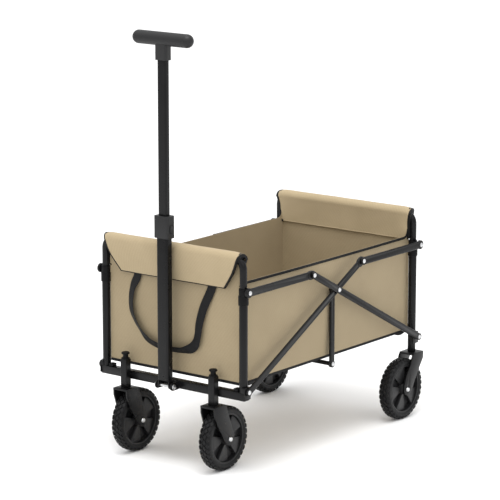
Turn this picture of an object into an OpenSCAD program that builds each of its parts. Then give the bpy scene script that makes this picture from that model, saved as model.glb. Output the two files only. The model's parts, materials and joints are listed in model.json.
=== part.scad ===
// Folding fabric utility wagon with a telescoping pull handle.
// Front (handle end) faces -Y, +Z is up, the wheels stand on Z = 0.
// Each side has a scissor of two braces, so the rear frame folds forward to the front frame.

/* [Frame] */
// Distance between the left and right post axes
span_x = 480; // [430:1:560]
// Distance between the front and rear post axes, unfolded
span_y = 794; // [720:1:900]
// Height of the underside of the crossbars
bar_z = 212; // [205:1:230]
// Side of the square crossbar tube
bar_s = 22; // [18:1:26]
// Outer diameter of the lower post tubes
post_d = 23; // [21:0.5:28]
// Wall of the round tubes
post_wall = 1.4; // [1.2:0.1:1.8]
// Height of the axis of the top bars
top_z = 597; // [560:1:640]
// Radius of the bend in the upper frames, on the tube's axis
bend_r = 30; // [26:1:45]
// Height of the lower edge of the plastic collars
collar_z = 473; // [440:1:480]
// Height of the plastic collars
collar_h = 27; // [20:1:32]

/* [Scissor linkage] */
// Height of the lower brace pivots
low_z = 236; // [232:1:250]
// Height of the upper pivots, where the top links meet the frames
up_z = 508; // [506:1:540]
// Half the distance between the two upper brace nodes
node_y = 116; // [90:1:140]
// Width of the braces
brace_w = 20; // [15:1:22]
// Thickness of the braces and links
brace_t = 6.5; // [5:0.5:8]
// Width of the top links
link_w = 22; // [16:1:24]
// Radius of the rivet shanks
rivet_r = 4; // [3:0.5:5]
// Width of the centre posts
mid_w = 20; // [14:1:22]
// Diameter of the bar under the floor
under_d = 12; // [10:1:13]

/* [Wheels] */
// Outer diameter of the tyres
wheel_d = 178; // [160:1:180]
// Width of the tyres
wheel_w = 34; // [26:1:40]
// Rim diameter, where the tyre sits
rim_d = 142; // [120:1:146]
// Radius of the axle bolts
axle_r = 5; // [4:0.5:6]
// Distance of each caster's stem from the middle
caster_x = 154; // [150:1:165]
// Trail of the casters, from the stem to the axle
trail = 42; // [35:1:45]
// How far the rear axles sit ahead of the rear posts
rear_lead = 54; // [40:1:60]
// Diameter of the caster stems
stem_d = 14; // [10:1:16]
// Side of the square stem sleeves
sleeve_s = 21; // [19:1:26]
// Height of the stem sleeves
sleeve_h = 80; // [60:1:90]
// Thickness of the fork legs
leg_t = 4.5; // [3:0.5:6]

/* [Handle] */
// How far the handle hinge stands in front of the front posts
hinge_ahead = 37; // [36:1:45]
// Height of the handle hinge
hinge_z = 222; // [220:1:226]
// Width of the lower handle tube
low_w = 38; // [35:1:42]
// Depth of the lower handle tube
low_t = 24; // [21:1:26]
// Width of the upper handle tube
upp_w = 30; // [24:1:33]
// Depth of the upper handle tube
upp_t = 16.5; // [13:0.5:19]
// Height of the top of the lower tube
low_top = 661; // [600:1:700]
// Height of the clamp's lower edge
clamp_z = 631; // [580:1:640]
// Height of the clamp
clamp_h = 61; // [50:1:70]
// Height of the grip's axis
grip_z = 1167; // [1080:1:1200]
// Overall length of the grip
grip_l = 200; // [160:1:240]
// Diameter of the grip
grip_d = 37; // [30:1:40]

/* [Fabric] */
// Thickness of the fabric walls
cloth_t = 4; // [2:0.5:6]
// Height of the underside of the floor
floor_z = 250; // [248:1:262]
// Height of the top edge of the side walls
side_top = 531; // [480:1:540]
// Outer radius of the padded roll on each top bar
roll_r = 16.5; // [14:0.5:24]
// Height of the flap's lower edge
flap_z = 517; // [510:1:540]
// How far the flap's lower corners are cut back
flap_cut = 62; // [40:1:80]
// Width of the webbing strap
strap_w = 28; // [20:1:30]
// How far the strap loop hangs below its sewn ends
strap_drop = 206; // [140:1:210]

/* [Hidden] */
$fn = 64;

steel = "#2e2e2f";
plastic = "#1d1d1e";
cloth = "#b39a74";
silver = "#c9cacb";

run = 0.06;      // radial running clearance of a shaft in its bore
gap = 0.3;       // clearance between faces that slide past each other
hx = span_x / 2;
collar_d = post_d + 5;
wheel_r = wheel_d / 2;
tube_d = post_d - 2 * post_wall - 0.2;      // the upper tube slides in the lower post
// The stem sleeves are welded to the front face of the front crossbar
stem_ahead = bar_s / 2 + sleeve_s / 2;
// The origin stands under the middle of the object, from the front tyres to the rear tyres
shift_y = ((stem_ahead - trail) - (-rear_lead)) / 2;
front_y = -span_y / 2 + shift_y;
rear_y = span_y / 2 + shift_y;
stem_y = front_y - stem_ahead;
hinge_y = front_y - hinge_ahead;

// Lateral planes of the linkage, on the +X side
post_face = hx + post_d / 2;
plate_t = 2.7;
plane_1 = post_face + plate_t + gap;        // inner plane: brace A and the front link
plane_2 = plane_1 + brace_t + 0.5;          // outer plane: brace B and the rear link
head_h = 2;
mid_t = 8;                                  // centre posts, inside the braces
mid_x = plane_1 - 8.5 - mid_t;

// Scissor geometry, in the YZ plane
theta = atan2(up_z - low_z, span_y / 2 + node_y);
cross_z = low_z + span_y / 2 * tan(theta);
front_low = [front_y, low_z];
rear_low = [rear_y, low_z];
cross = [shift_y, cross_z];
node_front = [shift_y - node_y, up_z];
node_rear = [shift_y + node_y, up_z];

// Fork
fork_in = wheel_w / 2 + 3.5;
fork_out = fork_in + leg_t;
plate_top = bar_z - 23;
fork_plate_t = 5.5;
plate_half = 25;
sleeve_z = plate_top + gap;
knob_z = sleeve_z + sleeve_h + gap;

// ---------- shared shapes ----------

module both() {
    children();
    mirror([1, 0, 0]) children();
}

module tube_z(d, wall, z0, z1) {
    translate([0, 0, z0]) difference() {
        cylinder(d = d, h = z1 - z0);
        translate([0, 0, -1]) cylinder(d = d - 2 * wall, h = z1 - z0 + 2);
    }
}

module rod_x(r, x0, x1) {
    translate([x0, 0, 0]) rotate([0, 90, 0]) cylinder(r = r, h = x1 - x0);
}

// rounded rectangle, w by t, centred
module rounded(w, t, r) {
    square([w - 2 * r, t], center = true);
    square([w, t - 2 * r], center = true);
    for (sx = [-1, 1], sy = [-1, 1])
        translate([sx * (w / 2 - r), sy * (t / 2 - r)]) circle(r = r);
}

// a flat-oval bar in the YZ plane from p to q, with a drilled eye at each end
module oval_bar(p, q, x0, w, t, bores) {
    long = norm(q - p);
    turn = atan2(q[1] - p[1], q[0] - p[0]);
    translate([x0, p[0], p[1]]) rotate([turn, 0, 0]) difference() {
        union() {
            translate([t / 2, 0, 0]) rotate([-90, 0, 0])
                linear_extrude(long) rounded(t, w, t / 2 - 0.2);
            for (y = [0, long]) translate([0, y, 0]) rod_x(w / 2, 0, t);
        }
        for (y = bores) translate([0, y * long, 0]) rod_x(rivet_r + run, -1, t + 1);
    }
}

// rivet along X with a domed outer head: shank from x0 to x1, heads beyond
module rivet(p, x0, x1, inner) {
    translate([0, p[0], p[1]]) {
        rod_x(rivet_r, x0, x1);
        translate([x1, 0, 0]) rotate([0, 90, 0])
            cylinder(r1 = 6.5, r2 = 4.5, h = head_h);
        if (inner) rod_x(6.5, x0 - head_h, x0);
    }
}

// ---------- frames ----------

module post_pair(y, z0) {
    both() translate([hx, y, 0]) tube_z(post_d, post_wall, z0, collar_z + collar_h - 6);
}

// bent tube on y = 0, from z0 up to the top bar and down the other side
module upper_tube_solid(d, z0) {
    both() {
        translate([hx, 0, z0]) cylinder(d = d, h = top_z - bend_r - z0);
        translate([hx - bend_r, 0, top_z - bend_r]) rotate([90, 0, 0])
            rotate_extrude(angle = 90) translate([bend_r, 0]) circle(d = d);
    }
    translate([0, 0, top_z]) rod_x(d / 2, -(hx - bend_r), hx - bend_r);
}

module upper_frame(y) {
    z0 = collar_z - 45;
    translate([0, y, 0]) difference() {
        upper_tube_solid(tube_d, z0);
        upper_tube_solid(tube_d - 2 * post_wall, z0 - 1);
    }
}

module collar_pair(y) {
    h1 = collar_h - 6;
    both() translate([hx, y, collar_z]) difference() {
        union() {
            cylinder(d = collar_d, h = collar_h - 2);
            translate([0, 0, collar_h - 2])
                cylinder(d1 = collar_d, d2 = collar_d - 3, h = 2);
        }
        translate([0, 0, -1]) cylinder(d = post_d + 0.1, h = h1 + 1.05);
        translate([0, 0, h1 - 1]) cylinder(d = tube_d + 0.1, h = collar_h);
    }
}

// plate and saddle at the foot of a post; boss carries the pivot out to plane p
module low_brackets(y, face) {
    r = 13;
    both() difference() {
        translate([0, y, 0]) union() {
            translate([post_face, -r, bar_z + 3]) cube([plate_t, 2 * r, low_z + r - bar_z - 3]);
            translate([0, 0, low_z]) rod_x(r, post_face, post_face + plate_t);
            translate([0, 0, low_z]) rod_x(9, post_face, face);
            translate([hx + 2, -r, bar_z + bar_s + gap])
                cube([post_d / 2 - 2, 2 * r, low_z + r - bar_z - bar_s - gap]);
        }
        translate([hx, y, bar_z - 1]) cylinder(d = post_d, h = 80);
        translate([0, y, low_z]) rod_x(rivet_r, post_face - 0.1, face + 1);
    }
}

// ring on the upper tube with a boss that carries the top link
module up_brackets(y, face) {
    h = 18;
    z = max(up_z, collar_z + collar_h + h / 2 + 0.2);
    both() difference() {
        union() {
            translate([hx, y, z - h / 2]) cylinder(d = tube_d + 5, h = h);
            translate([0, y, up_z]) rod_x(8, hx + 4, face);
        }
        translate([hx, y, up_z - 40]) cylinder(d = tube_d, h = 80);
    }
}

module front_posts() { color(steel) post_pair(front_y, bar_z + bar_s); }

module front_crossbar() {
    color(steel) translate([0, front_y, bar_z + bar_s / 2]) difference() {
        cube([2 * post_face, bar_s, bar_s], center = true);
        cube([2 * post_face + 2, bar_s - 2 * post_wall, bar_s - 2 * post_wall], center = true);
    }
}

module front_upper_frame() { color(steel) upper_frame(front_y); }
module front_collars() { color(plastic) collar_pair(front_y); }
module front_lower_brackets() { color(steel) low_brackets(front_y, plane_1 - gap); }
module front_upper_brackets() { color(plastic) up_brackets(front_y, plane_1 - gap); }

module caster_sleeves() {
    color(steel) both() translate([caster_x, stem_y, sleeve_z]) difference() {
        linear_extrude(sleeve_h) rounded(sleeve_s, sleeve_s, 2);
        translate([0, 0, -1]) cylinder(r = stem_d / 2 + run, h = sleeve_h + 2);
    }
}

ear_x = low_w / 2 + 5;
ear_t = 4;

// back plate and two ears on the middle of the front crossbar
module handle_bracket() {
    back = front_y - bar_s / 2;
    plate = 3;
    r = 11;
    color(steel) {
        translate([-ear_x - 6, back - plate, bar_z]) cube([2 * ear_x + 12, plate, bar_s]);
        both() difference() {
            union() {
                translate([ear_x, hinge_y, hinge_z - r])
                    cube([ear_t, back - plate - hinge_y, 2 * r]);
                translate([0, hinge_y, hinge_z]) rod_x(r, ear_x, ear_x + ear_t);
                translate([0, hinge_y, hinge_z]) rod_x(7, low_w / 2 + gap, ear_x);
            }
            translate([0, hinge_y, hinge_z]) rod_x(rivet_r, low_w / 2 - 1, ear_x + ear_t + 1);
        }
    }
}

// pivot rivets on the front frame, and the handle's hinge bolt
module front_rivets() {
    color(silver) {
        both() rivet(front_low, post_face + 0.2, plane_1 + brace_t, false);
        translate([0, hinge_y, hinge_z]) {
            rod_x(rivet_r, -ear_x - ear_t, ear_x + ear_t);
            both() rotate([0, 90, 0]) translate([0, 0, ear_x + ear_t]) cylinder(r = 7.5, h = 4.5, $fn = 6);
        }
    }
}

// ---------- fabric ----------

in_x = hx - post_d / 2 - 0.5;               // outer face of the side walls
side_end = cloth_t / 2 + 4;                 // front and rear walls stand this far inside the posts

module end_panel(y, s) {
    // s is -1 at the front, 1 at the rear
    x = in_x - 0.5;
    difference() {
        translate([-x, y - s * side_end - cloth_t / 2, floor_z])
            cube([2 * x, cloth_t, top_z - roll_r - gap - floor_z]);
        translate([0, y, 0]) both() translate([hx, 0, floor_z - 1])
            cylinder(d = collar_d + 2 * gap, h = top_z);
        translate([0, y, 0]) upper_tube_solid(tube_d + 4 * gap, floor_z);
    }
}

module roll(y, s) {
    w = hx - 3;
    flap = [[-w + 6, top_z], [w - 6, top_z], [w - 8, top_z - 4], [w - flap_cut, flap_z],
        [-w + flap_cut, flap_z], [-w + 8, top_z - 4]];
    tilt = atan2(roll_r - 7, top_z - flap_z);
    difference() {
        union() {
            translate([0, y, top_z]) rod_x(roll_r, -w, w);
            // the flap hangs outside the roll and leans in towards the wall
            translate([0, y + s * (roll_r - 2), top_z]) rotate([-s * tilt, 0, 0])
                translate([0, 1.5, -top_z]) rotate([90, 0, 0]) linear_extrude(3) polygon(flap);
        }
        translate([0, y, 0]) upper_tube_solid(tube_d + 0.6, top_z - 60);
    }
}

module front_panel() { color(cloth) end_panel(front_y, -1); }
module rear_panel() { color(cloth) end_panel(rear_y, 1); }
module front_roll() { color(cloth) roll(front_y, -1); }
module rear_roll() { color(cloth) roll(rear_y, 1); }

// webbing loop sewn under the front flap, hanging in a U in front of the wall
function strap_x(t) = 128 * sin(t);
function strap_z(t) = flap_z + 6 - strap_drop * pow(max(cos(t), 0), 0.62);
strap_steps = 28;
function strap_side(s) = [for (i = [0:strap_steps])
    let (t = -90 + 180 * i / strap_steps,
        a = max(-89.5, t - 1), b = min(89.5, t + 1),
        d = [strap_x(b) - strap_x(a), strap_z(b) - strap_z(a)], n = [-d[1], d[0]] / norm(d))
    [strap_x(t), strap_z(t)] + s * strap_w / 2 * n];

module carry_strap() {
    wall = front_y + side_end - cloth_t / 2;
    inner = strap_side(1);
    outer = strap_side(-1);
    color(plastic) {
        translate([0, wall - 3, 0]) rotate([90, 0, 0]) linear_extrude(3)
            polygon(concat(inner, [for (i = [strap_steps:-1:0]) outer[i]]));
        for (x = [-128, 128])
            translate([x - strap_w / 2, wall - 6, flap_z + 5]) cube([strap_w, 6 - 0.01, 18]);
    }
}

module side_panel(s) {
    y0 = front_y + side_end + cloth_t / 2 + gap;
    y1 = rear_y - side_end - cloth_t / 2 - gap;
    x = s > 0 ? in_x - cloth_t : -in_x;
    color(cloth) translate([x, y0, floor_z]) cube([cloth_t, y1 - y0, side_top - floor_z]);
}
module side_panel_left() { side_panel(-1); }
module side_panel_right() { side_panel(1); }

module floor_panel() {
    y0 = front_y + side_end + cloth_t / 2 + gap;
    y1 = rear_y - side_end - cloth_t / 2 - gap;
    x = in_x - cloth_t - gap;
    color(cloth) translate([-x, y0, floor_z]) cube([2 * x, y1 - y0, 6]);
}

// ---------- rear frame ----------

module rear_posts() { color(steel) post_pair(rear_y, plate_top); }

// round tube between the rear posts, behind the foot of the rear wall
module rear_crossbar() {
    d = 12;
    y = rear_y - side_end + cloth_t / 2 + 1 + d / 2;
    color(steel) difference() {
        translate([0, y, floor_z + 12]) rod_x(d / 2, -hx, hx);
        translate([0, y, floor_z + 12]) rod_x(d / 2 - post_wall, -hx - 1, hx + 1);
        both() translate([hx, rear_y, 0]) cylinder(d = post_d, h = top_z);
    }
}

module rear_upper_frame() { color(steel) upper_frame(rear_y); }
module rear_collars() { color(plastic) collar_pair(rear_y); }
module rear_lower_brackets() { color(steel) low_brackets(rear_y, plane_2 - gap); }
module rear_upper_brackets() { color(plastic) up_brackets(rear_y, plane_2 - gap); }

// fork leg in the YZ plane, swept from the stem (y = 0) back to the axle, z from the axle
module leg_outline(reach) {
    drop = plate_top - wheel_r;
    h = plate_half;
    r = 17;
    difference() {
        union() {
            polygon([[-h, drop], [h, drop], [h + (reach - h) * 0.3 + 4, drop * 0.72],
                [reach + 5, drop * 0.42], [reach + r * 0.97, drop * 0.12], [reach + r, 0],
                [reach, -r], [reach - 7, -r + 1], [reach - 18, -9], [reach - 28, 4],
                [reach - 37, drop * 0.22], [reach - 56, drop * 0.5], [-h + 1, drop * 0.8]]);
            translate([reach, 0]) circle(r = r);
        }
        translate([reach, 0]) circle(r = axle_r);
    }
}

// s is 1 where the axle lies rearward of the stem, -1 where it lies forward
module fork(reach, s) {
    translate([-fork_out, -plate_half, plate_top - fork_plate_t])
        cube([2 * fork_out, 2 * plate_half, fork_plate_t]);
    for (x = [-fork_out, fork_in]) difference() {
        translate([x, 0, wheel_r]) mirror([0, s < 0 ? 1 : 0, 0]) rotate([90, 0, 90])
            linear_extrude(leg_t) leg_outline(reach);
        translate([-100, -100, plate_top - fork_plate_t + 1]) cube([200, 200, 20]);
    }
}

module rear_fork(s) {
    color(steel) translate([s * hx, rear_y, 0]) fork(rear_lead, -1);
}
module rear_fork_left() { rear_fork(-1); }
module rear_fork_right() { rear_fork(1); }

// axle bolt with a head at each end, along X
module axle(grip_half) {
    rod_x(axle_r, -grip_half, grip_half);
    for (s = [0, 1]) mirror([s, 0, 0]) translate([grip_half, 0, 0]) rotate([0, 90, 0])
        cylinder(r1 = axle_r + 2, r2 = axle_r + 0.5, h = 4);
}

module rear_rivets() {
    color(silver) {
        both() rivet(rear_low, post_face + 0.2, plane_2 + brace_t, false);
        both() translate([hx, rear_y - rear_lead, wheel_r]) axle(fork_out);
    }
}

// ---------- scissor linkage ----------

long_brace = norm(node_rear - front_low);
cross_at = norm(cross - front_low) / long_brace;

module brace_a() {
    color(steel) oval_bar(front_low, node_rear, plane_1, brace_w, brace_t, [0, cross_at, 1]);
}
module brace_b() {
    color(steel) oval_bar(rear_low, node_front, plane_2, brace_w, brace_t, [0, cross_at, 1]);
}
module brace_a_right() { brace_a(); }
module brace_a_left() { mirror([1, 0, 0]) brace_a(); }
module brace_b_right() { brace_b(); }
module brace_b_left() { mirror([1, 0, 0]) brace_b(); }

// crossing rivet and rear node rivet turn with brace A, the front node rivet with brace B
module rivets_a() {
    color(silver) {
        rivet(cross, mid_x, plane_2 + brace_t, true);
        translate([0, cross[0], cross[1]]) difference() {
            rod_x(8, mid_x + mid_t + gap, plane_1 - 0.02);
            rod_x(rivet_r, mid_x, plane_1);
        }
        rivet(node_rear, plane_1, plane_2 + brace_t, true);
    }
}
module rivet_b() { color(silver) rivet(node_front, plane_1, plane_2 + brace_t, true); }
module rivets_a_right() { rivets_a(); }
module rivets_a_left() { mirror([1, 0, 0]) rivets_a(); }
module rivet_b_right() { rivet_b(); }
module rivet_b_left() { mirror([1, 0, 0]) rivet_b(); }

// top link from a brace node to a bracket, with a black end fitting and a rivet head
module link(p, q, x0) {
    color(steel) {
        oval_bar(p, q, x0, link_w, brace_t, [0]);
        translate([0, q[0], q[1]]) {
            rod_x(link_w / 2 + 2, x0, x0 + brace_t);
            translate([x0 + brace_t, 0, 0]) rotate([0, 90, 0]) cylinder(r1 = 6.5, r2 = 4.5, h = head_h);
        }
    }
}
module front_link() { link(node_front, [front_y, up_z], plane_1); }
module rear_link() { link(node_rear, [rear_y, up_z], plane_2); }
module front_link_right() { front_link(); }
module front_link_left() { mirror([1, 0, 0]) front_link(); }
module rear_link_right() { rear_link(); }
module rear_link_left() { mirror([1, 0, 0]) rear_link(); }

// centre posts hang from the crossing rivets and carry the bar under the floor
under_z = floor_z - 12 - under_d / 2;
module under_posts() {
    color(steel) both() {
        difference() {
            oval_bar([shift_y, under_z], cross, mid_x, mid_w, mid_t, [1]);
            translate([0, shift_y, under_z]) rod_x(5, mid_x - 1, mid_x + mid_t - 2);
        }
        translate([mid_x + mid_t, shift_y, under_z]) rotate([0, 90, 0])
            cylinder(r1 = 6, r2 = 4, h = head_h);
    }
}
module under_bar() {
    color(steel) translate([0, shift_y, under_z]) {
        difference() {
            rod_x(under_d / 2, -mid_x, mid_x);
            rod_x(under_d / 2 - post_wall, -mid_x - 1, mid_x + 1);
        }
    }
}

// ---------- casters ----------

module caster_fork(s) {
    color(steel) translate([s * caster_x, stem_y, 0]) {
        fork(trail, 1);
        translate([0, 0, plate_top - 0.5]) cylinder(d = stem_d, h = knob_z - plate_top + 0.5);
    }
}
module caster_fork_left() { caster_fork(-1); }
module caster_fork_right() { caster_fork(1); }

// flanged cap that holds the stem in its sleeve
module caster_knob(s) {
    r = sleeve_s / 2 + 1.5;
    color(plastic) translate([s * caster_x, stem_y, knob_z]) {
        cylinder(r = r, h = 3.5);
        cylinder(r = r - 4.5, h = 14);
        translate([0, 0, 13]) cylinder(r1 = r - 2, r2 = r, h = 2.5);
        translate([0, 0, 15.5]) cylinder(r1 = r, r2 = r - 2, h = 4);
    }
}
module caster_knob_left() { caster_knob(-1); }
module caster_knob_right() { caster_knob(1); }

module caster_axle(s) {
    color(silver) translate([s * caster_x, stem_y + trail, wheel_r]) axle(fork_out);
}
module caster_axle_left() { caster_axle(-1); }
module caster_axle_right() { caster_axle(1); }

// ---------- wheels ----------

module tyre() {
    half = wheel_w / 2;
    wall = wheel_r - rim_d / 2;
    c = min(9, wall * 0.5);        // shoulder, kept within the tyre's wall
    b = min(3, wall * 0.25);       // bead
    color("#262627") rotate([0, 90, 0]) rotate_extrude($fn = 96) {
        polygon([[rim_d / 2, -half + 2], [rim_d / 2 + b, -half], [wheel_r - c, -half],
            [wheel_r - c * 0.45, -half + c * 0.3], [wheel_r - c * 0.1, -half + c],
            [wheel_r, -half + c + 3], [wheel_r, half - c - 3], [wheel_r - c * 0.1, half - c],
            [wheel_r - c * 0.45, half - c * 0.3], [wheel_r - c, half],
            [rim_d / 2 + b, half], [rim_d / 2, half - 2]]);
    }
}

spokes = 5;
module rim() {
    half = wheel_w / 2;
    r = rim_d / 2;
    color("#353536") difference() {
        rotate([0, 90, 0]) {
            rotate_extrude($fn = 96) polygon([[r - 7, -half + 5], [r, -half + 4], [r, half - 4], [r - 7, half - 5]]);
            translate([0, 0, -half - 3]) cylinder(r = 17, h = wheel_w + 6);
            translate([0, 0, -4]) cylinder(r = r - 4, h = 8);
            for (i = [0:spokes - 1]) rotate([0, 0, i * 360 / spokes])
                translate([0, 0, -half + 6]) linear_extrude(wheel_w - 12)
                    polygon([[12, -6], [r - 5, -20], [r - 5, 20], [12, 6]]);
        }
        rod_x(axle_r + run, -half - 10, half + 10);
    }
}

module at_front(s) { translate([s * caster_x, stem_y + trail, wheel_r]) children(); }
module at_rear(s) { translate([s * hx, rear_y - rear_lead, wheel_r]) children(); }
module tyre_front_left() { at_front(-1) tyre(); }
module tyre_front_right() { at_front(1) tyre(); }
module tyre_rear_left() { at_rear(-1) tyre(); }
module tyre_rear_right() { at_rear(1) tyre(); }
module rim_front_left() { at_front(-1) rim(); }
module rim_front_right() { at_front(1) rim(); }
module rim_rear_left() { at_rear(-1) rim(); }
module rim_rear_right() { at_rear(1) rim(); }

// ---------- pull handle ----------

tab_t = 3;
low_start = hinge_z + 16;

module handle_lower_tube() {
    wall = 1.6;
    color(steel) translate([0, hinge_y, 0]) {
        translate([0, 0, low_start]) difference() {
            linear_extrude(low_top - low_start) rounded(low_w, low_t, 6);
            translate([0, 0, -1]) linear_extrude(low_top - low_start + 2)
                rounded(low_w - 2 * wall, low_t - 2 * wall, 4.4);
        }
        both() difference() {
            union() {
                translate([low_w / 2 - tab_t, -4, hinge_z]) cube([tab_t, 8, 30]);
                translate([low_w / 2 - tab_t, -8, hinge_z]) cube([tab_t, 16, 15.98]);
                translate([0, 0, hinge_z]) rod_x(8, low_w / 2 - tab_t, low_w / 2);
            }
            translate([0, 0, hinge_z]) rod_x(rivet_r + run, low_w / 2 - tab_t - 1, low_w / 2 + 1);
        }
    }
}

clamp_w = low_w + 12;
clamp_t = low_t + 8;
button_y = 13;
button_h = 20;
button_z = clamp_z + clamp_h * 0.42;
button_travel = 2.5;
pocket_x = low_w / 2 + 1.6;

// plastic clamp fixed to the top of the lower tube, open for the upper tube
module handle_clamp() {
    color(plastic) translate([0, hinge_y, 0]) difference() {
        translate([0, 0, clamp_z]) linear_extrude(clamp_h) rounded(clamp_w, clamp_t, 7);
        translate([0, 0, clamp_z - 1]) linear_extrude(low_top - clamp_z + 1)
            rounded(low_w + 0.1, low_t + 0.1, 6);
        translate([0, 0, clamp_z]) linear_extrude(clamp_h + 1)
            rounded(upp_w + 0.5, upp_t + 0.5, 5);
        translate([pocket_x, -button_y / 2 - gap, button_z - button_h / 2 - gap])
            cube([20, button_y + 2 * gap, button_h + 2 * gap]);
    }
}

module clamp_button() {
    color("#303031") translate([pocket_x + button_travel + 0.2, hinge_y, button_z])
        rotate([0, 90, 0]) linear_extrude(clamp_w / 2 + 3 - pocket_x - button_travel - 0.2)
            rounded(button_h, button_y, 3);
}

upp_low = low_top - 82;
socket_z = grip_z - 56;

module handle_upper_tube() {
    wall = 1.4;
    top = grip_z - 24;
    color(steel) translate([0, hinge_y, upp_low]) difference() {
        linear_extrude(top - upp_low) rounded(upp_w, upp_t, 4.8);
        translate([0, 0, -1]) linear_extrude(top - upp_low + 2)
            rounded(upp_w - 2 * wall, upp_t - 2 * wall, 3.5);
    }
}

// T-shaped grip moulded with the socket that takes the upper tube
module handle_grip() {
    r = grip_d / 2;
    half = grip_l / 2 - r;
    color(plastic) translate([0, hinge_y, 0]) difference() {
        union() {
            translate([0, 0, grip_z]) {
                rod_x(r, -half, half);
                for (x = [-half, half]) translate([x, 0, 0]) sphere(r = r);
            }
            translate([0, 0, socket_z]) linear_extrude(grip_z - socket_z) rounded(40, 26, 7);
        }
        translate([0, 0, socket_z - 1]) linear_extrude(grip_z - 24 - socket_z + 1.02)
            rounded(upp_w + 0.1, upp_t + 0.1, 4.8);
    }
}

front_posts();
front_crossbar();
front_upper_frame();
front_collars();
front_lower_brackets();
front_upper_brackets();
caster_sleeves();
handle_bracket();
front_rivets();
front_panel();
front_roll();
carry_strap();
side_panel_left();
side_panel_right();
floor_panel();
rear_posts();
rear_crossbar();
rear_upper_frame();
rear_collars();
rear_lower_brackets();
rear_upper_brackets();
rear_fork_left();
rear_fork_right();
rear_rivets();
rear_panel();
rear_roll();
brace_a_right();
brace_b_right();
brace_a_left();
brace_b_left();
rivets_a_right();
rivet_b_right();
rivets_a_left();
rivet_b_left();
front_link_right();
front_link_left();
rear_link_right();
rear_link_left();
under_posts();
under_bar();
caster_fork_left();
caster_fork_right();
caster_knob_left();
caster_knob_right();
caster_axle_left();
caster_axle_right();
tyre_front_left();
rim_front_left();
tyre_front_right();
rim_front_right();
tyre_rear_left();
rim_rear_left();
tyre_rear_right();
rim_rear_right();
handle_lower_tube();
handle_clamp();
clamp_button();
handle_upper_tube();
handle_grip();
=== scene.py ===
import math
import json

import bpy
from mathutils import Matrix, Vector, noise


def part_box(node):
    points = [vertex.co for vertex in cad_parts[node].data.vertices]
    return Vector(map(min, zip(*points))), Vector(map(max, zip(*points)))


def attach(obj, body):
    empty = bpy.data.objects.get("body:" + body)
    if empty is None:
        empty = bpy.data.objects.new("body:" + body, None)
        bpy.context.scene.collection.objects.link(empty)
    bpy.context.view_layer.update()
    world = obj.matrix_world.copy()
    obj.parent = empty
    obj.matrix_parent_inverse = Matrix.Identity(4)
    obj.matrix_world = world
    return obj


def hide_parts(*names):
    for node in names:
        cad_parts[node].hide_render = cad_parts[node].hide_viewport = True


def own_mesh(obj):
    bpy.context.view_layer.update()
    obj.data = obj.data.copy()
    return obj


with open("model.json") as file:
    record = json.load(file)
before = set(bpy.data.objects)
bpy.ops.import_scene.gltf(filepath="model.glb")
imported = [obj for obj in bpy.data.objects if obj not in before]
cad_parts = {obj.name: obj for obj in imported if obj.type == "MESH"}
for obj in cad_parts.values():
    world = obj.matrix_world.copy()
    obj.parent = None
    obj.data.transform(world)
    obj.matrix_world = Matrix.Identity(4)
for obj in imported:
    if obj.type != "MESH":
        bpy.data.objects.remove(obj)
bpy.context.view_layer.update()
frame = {"nodes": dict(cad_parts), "record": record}

# ------------------------------------------------------------------ camera, light and ground
# The wagon stands on a white studio sweep under a broad overhead light. A long lens looks at
# its front right corner from a little above the tub.
MM = 0.001
scene = bpy.context.scene
scene.view_settings.view_transform = "Standard"
azimuth, elevation, camera_distance = math.radians(37.775), math.radians(11.994), 7.3706
aim = Vector((-0.0286, -0.0054, 0.5245))
towards_camera = Vector((math.sin(azimuth) * math.cos(elevation),
                         -math.cos(azimuth) * math.cos(elevation), math.sin(elevation)))
camera_data = bpy.data.cameras.new("studio_camera")
camera_data.sensor_width = 36
camera_data.lens = 188.38
camera_data.clip_end = 60
camera = bpy.data.objects.new("studio_camera", camera_data)
scene.collection.objects.link(camera)
camera.location = aim + towards_camera * camera_distance
camera.rotation_euler = towards_camera.to_track_quat("Z", "Y").to_euler()
scene.camera = camera


def linear(hex_colour):
    """sRGB hex colour to the linear RGBA that shaders take."""
    channels = [int(hex_colour[i:i + 2], 16) / 255 for i in (1, 3, 5)]
    return tuple(c / 12.92 if c <= 0.04045 else ((c + 0.055) / 1.055) ** 2.4
                 for c in channels) + (1.0,)


def add(tree, kind, settings=None, inputs=None):
    """Adds a node. settings are its properties; inputs are values or (node, output) links."""
    made = tree.nodes.new("ShaderNode" + kind)
    for name, value in (settings or {}).items():
        setattr(made, name, value)
    for name, value in (inputs or {}).items():
        if isinstance(value, tuple) and len(value) == 2 and hasattr(value[0], "outputs"):
            tree.links.new(value[0].outputs[value[1]], made.inputs[name])
        else:
            made.inputs[name].default_value = value
    return made


def new_material(name):
    """An empty node material with its output, ready for a shader."""
    material = bpy.data.materials.new(name)
    material.use_nodes = True
    material.node_tree.nodes.clear()
    return material, material.node_tree


def deselect():
    if bpy.context.object and bpy.context.object.mode != "OBJECT":
        bpy.ops.object.mode_set(mode="OBJECT")
    bpy.ops.object.select_all(action="DESELECT")


def take(piece):
    """Selects one piece and makes it active."""
    deselect()
    piece.select_set(True)
    bpy.context.view_layer.objects.active = piece
    return piece


deselect()
bpy.ops.mesh.primitive_plane_add(size=110, location=(0, 0, 0))
ground = bpy.context.object
ground.name = "studio_ground"
paper, tree = new_material("white_seamless_paper")
shader = add(tree, "BsdfPrincipled", inputs={"Base Color": linear("#f8f8f8"), "Roughness": 0.95})
add(tree, "OutputMaterial", inputs={"Surface": (shader, "BSDF")})
ground.data.materials.append(paper)

world = bpy.data.worlds.new("studio_world")
scene.world = world
world.use_nodes = True
world.node_tree.nodes.clear()
sky = add(world.node_tree, "Background", inputs={"Color": (1, 1, 1, 1), "Strength": 0.93})
add(world.node_tree, "OutputWorld", inputs={"Surface": (sky, "Background")})


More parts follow.
